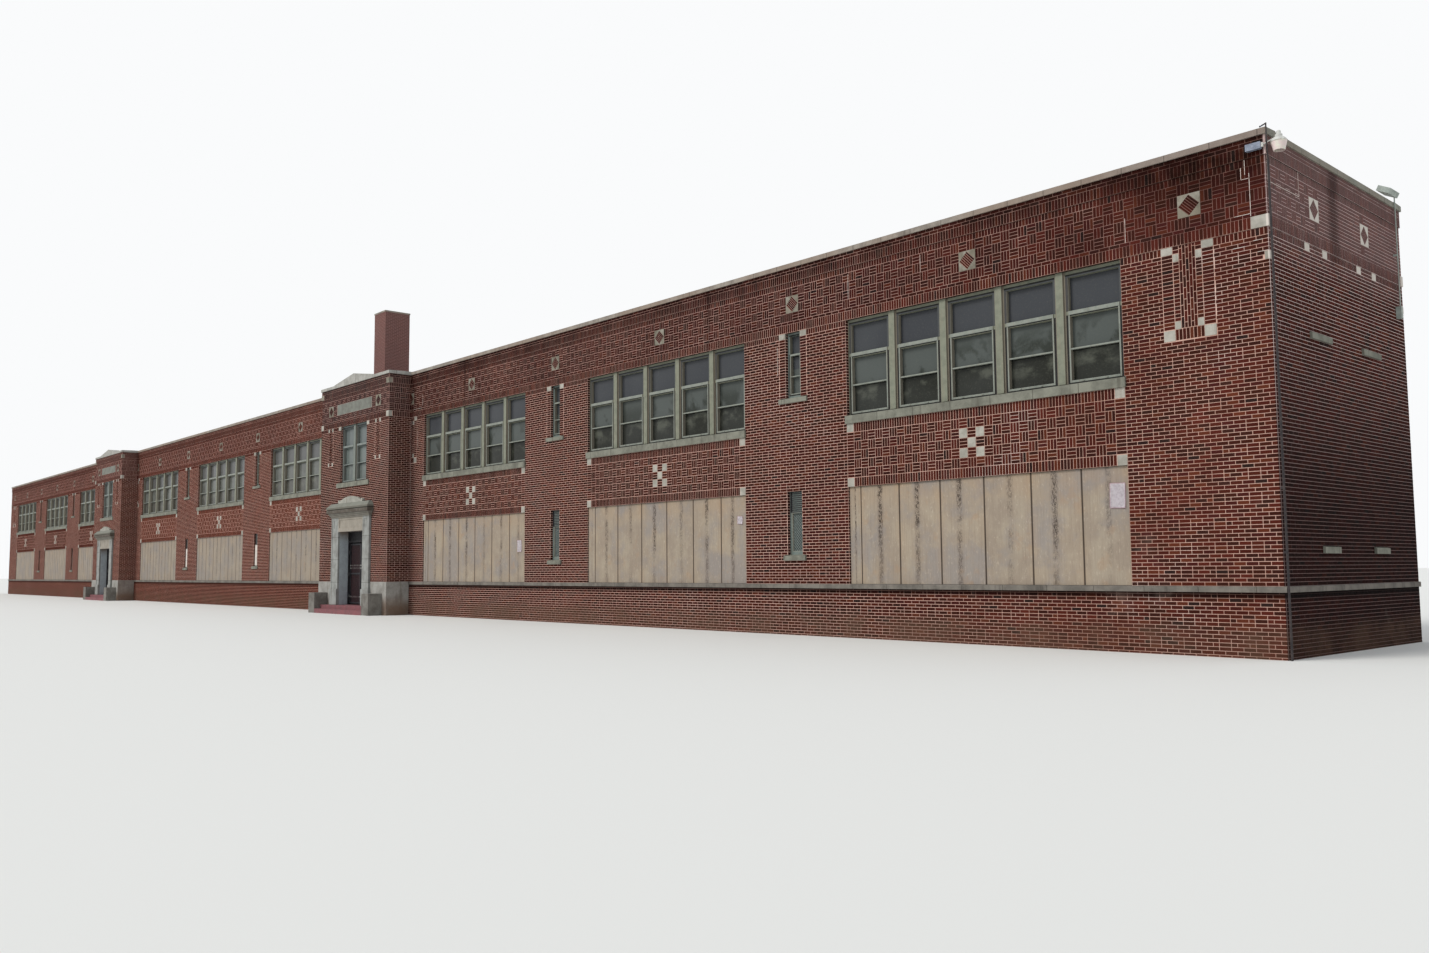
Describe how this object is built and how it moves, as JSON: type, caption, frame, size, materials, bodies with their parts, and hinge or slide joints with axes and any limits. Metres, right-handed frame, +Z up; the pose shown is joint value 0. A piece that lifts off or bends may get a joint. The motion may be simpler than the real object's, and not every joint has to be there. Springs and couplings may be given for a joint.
{
  "type": "school building, one tenth scale model",
  "caption": "Two-storey brick school building with grouped windows, boarded lower openings and two projecting stone entrances with barred doors, at one tenth scale.",
  "frame": {"origin": "centre of the building's bounding box in plan, on the lowest ground that its walls reach", "axes": "+X along the front towards the right end as seen from the street, +Y from the front to the rear, +Z up"},
  "size_m": [11.4752, 0.8832, 1.538],
  "materials": {
    "brick": "rough variegated brick with pale joints",
    "pale_stone": "dressed pale stone",
    "base_stone": "weathered pale stone blocks",
    "weathered_stone": "weathered grey stone",
    "painted_wood": "aged grey-green paint",
    "glass": "dusty dark glass",
    "board": "weathered plywood",
    "concrete": "plain concrete",
    "painted_lining": "worn blue-grey paint",
    "red_step": "worn red paint on concrete",
    "dark_steel": "dark painted steel",
    "pale_metal": "weathered pale grey painted metal",
    "lamp_bowl": "ribbed cloudy lamp bowl"
  },
  "bodies": {
    "building": {"front_walls": "brick", "rear_wall": "brick", "end_walls": "brick", "pavilion_piers": "brick", "pavilion_upper_walls": "brick", "pavilion_side_walls": "brick", "pavilion_base_fronts": "base_stone", "pavilion_base_returns": "base_stone", "water_table_long": "weathered_stone", "water_table_ends": "weathered_stone", "coping_long": "weathered_stone", "coping_ends": "weathered_stone", "pavilion_copings": "weathered_stone", "window_sills": "weathered_stone", "upper_window_frames": "painted_wood", "upper_window_glass": "glass", "small_window_frames": "painted_wood", "small_window_glass": "glass", "lower_boards": "board", "ground_floor": "concrete", "upper_floor": "concrete", "roof_deck": "concrete", "pavilion_slabs": "concrete", "chimney": "brick", "chimney_cap": "weathered_stone", "entrance_pilasters": "pale_stone", "entrance_lintels": "pale_stone", "entrance_cornices": "pale_stone", "reveal_linings": "painted_lining", "door_sills": "red_step", "door_jambs": "dark_steel", "door_transoms": "dark_steel", "stoop_steps": "red_step", "stoop_cheeks": "concrete", "name_plaques": "pale_stone", "facing_stones": "pale_stone", "yard_light": "pale_metal", "yard_light_bowl": "lamp_bowl", "wall_conduits": "dark_steel", "rear_floodlight": "pale_metal"},
    "right_entrance_left_leaf": {"right_entrance_left_leaf": "dark_steel"},
    "right_entrance_right_leaf": {"right_entrance_right_leaf": "dark_steel"},
    "left_entrance_left_leaf": {"left_entrance_left_leaf": "dark_steel"},
    "left_entrance_right_leaf": {"left_entrance_right_leaf": "dark_steel"}
  },
  "joints": [
    {"name": "right_entrance_left_hinge", "type": "hinge", "parent": "building", "child": "right_entrance_left_leaf", "pos_m": [1.82993, -0.34188, 0.168], "axis": [0, 0, -1], "range_deg": [0, 90]},
    {"name": "right_entrance_right_hinge", "type": "hinge", "parent": "building", "child": "right_entrance_right_leaf", "pos_m": [2.04593, -0.34188, 0.168], "axis": [0, 0, 1], "range_deg": [0, 90]},
    {"name": "left_entrance_left_hinge", "type": "hinge", "parent": "building", "child": "left_entrance_left_leaf", "pos_m": [-2.07913, -0.34188, 0.168], "axis": [0, 0, -1], "range_deg": [0, 90]},
    {"name": "left_entrance_right_hinge", "type": "hinge", "parent": "building", "child": "left_entrance_right_leaf", "pos_m": [-1.86313, -0.34188, 0.168], "axis": [0, 0, 1], "range_deg": [0, 90]}
  ]
}
